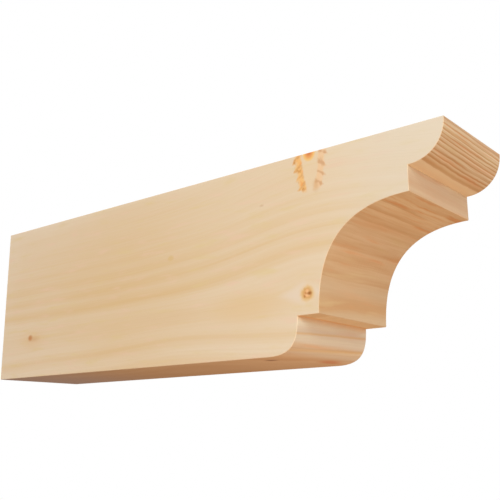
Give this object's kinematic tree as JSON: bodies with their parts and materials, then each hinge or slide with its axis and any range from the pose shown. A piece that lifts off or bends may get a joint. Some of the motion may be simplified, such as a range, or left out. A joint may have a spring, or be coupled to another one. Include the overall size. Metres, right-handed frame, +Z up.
{
  "type": "rafter tail",
  "caption": "Carved rafter tail: a planed softwood timber, square at the wall end, its free end cut in side view to a round, a fillet, a deep cove, a ledge and a lower round.",
  "frame": {"origin": "centre of the square end that meets the wall", "axes": "+X along the timber from the wall to the carved tip, +Y across its width, +Z up"},
  "size_m": [0.4572, 0.0888, 0.1396],
  "materials": {
    "softwood": "planed and sanded, bare"
  },
  "bodies": {
    "root": {"rafter_tail": "softwood"}
  },
  "joints": []
}
